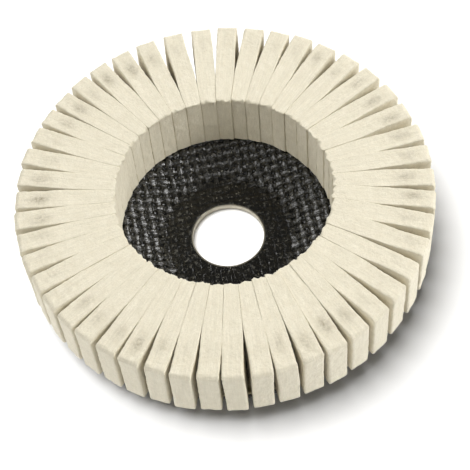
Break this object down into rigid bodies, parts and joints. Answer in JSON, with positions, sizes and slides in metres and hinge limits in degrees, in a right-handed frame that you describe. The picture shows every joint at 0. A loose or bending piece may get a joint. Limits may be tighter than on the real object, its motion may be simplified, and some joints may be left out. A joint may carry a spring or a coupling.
{
  "type": "felt polishing wheel",
  "caption": "Flap polishing wheel: upright felt lamellae bonded round a depressed-centre woven glass-fibre backing plate with a metal-lined arbor hole.",
  "frame": {"origin": "centre of the arbor hole at the back face of the hub, where the grinder's flange bears", "axes": "+Z along the arbor axis, from the hub's back towards the felt; X and Y lie in the plane of the disc"},
  "size_m": [0.1252, 0.1251, 0.029],
  "materials": {
    "felt": "dense pressed wool felt, cream, unbleached",
    "glass_fibre_plate": "black resin over coarse woven glass cloth, semi-gloss",
    "ring_metal": "thin pressed sheet, dull bright plating",
    "adhesive": "cured resin adhesive, dark olive brown, lumpy"
  },
  "bodies": {
    "root": {"backing_plate": "glass_fibre_plate", "arbor_ring": "ring_metal", "adhesive_bed": "adhesive", "felt_lamella_01": "felt", "felt_lamella_02": "felt", "felt_lamella_03": "felt", "felt_lamella_04": "felt", "felt_lamella_05": "felt", "felt_lamella_06": "felt", "felt_lamella_07": "felt", "felt_lamella_08": "felt", "felt_lamella_09": "felt", "felt_lamella_10": "felt", "felt_lamella_11": "felt", "felt_lamella_12": "felt", "felt_lamella_13": "felt", "felt_lamella_14": "felt", "felt_lamella_15": "felt", "felt_lamella_16": "felt", "felt_lamella_17": "felt", "felt_lamella_18": "felt", "felt_lamella_19": "felt", "felt_lamella_20": "felt", "felt_lamella_21": "felt", "felt_lamella_22": "felt", "felt_lamella_23": "felt", "felt_lamella_24": "felt", "felt_lamella_25": "felt", "felt_lamella_26": "felt", "felt_lamella_27": "felt", "felt_lamella_28": "felt", "felt_lamella_29": "felt", "felt_lamella_30": "felt", "felt_lamella_31": "felt", "felt_lamella_32": "felt", "felt_lamella_33": "felt", "felt_lamella_34": "felt", "felt_lamella_35": "felt", "felt_lamella_36": "felt", "felt_lamella_37": "felt", "felt_lamella_38": "felt", "felt_lamella_39": "felt", "felt_lamella_40": "felt", "felt_lamella_41": "felt", "felt_lamella_42": "felt", "felt_lamella_43": "felt", "felt_lamella_44": "felt", "felt_lamella_45": "felt", "felt_lamella_46": "felt", "felt_lamella_47": "felt", "felt_lamella_48": "felt"}
  },
  "joints": []
}
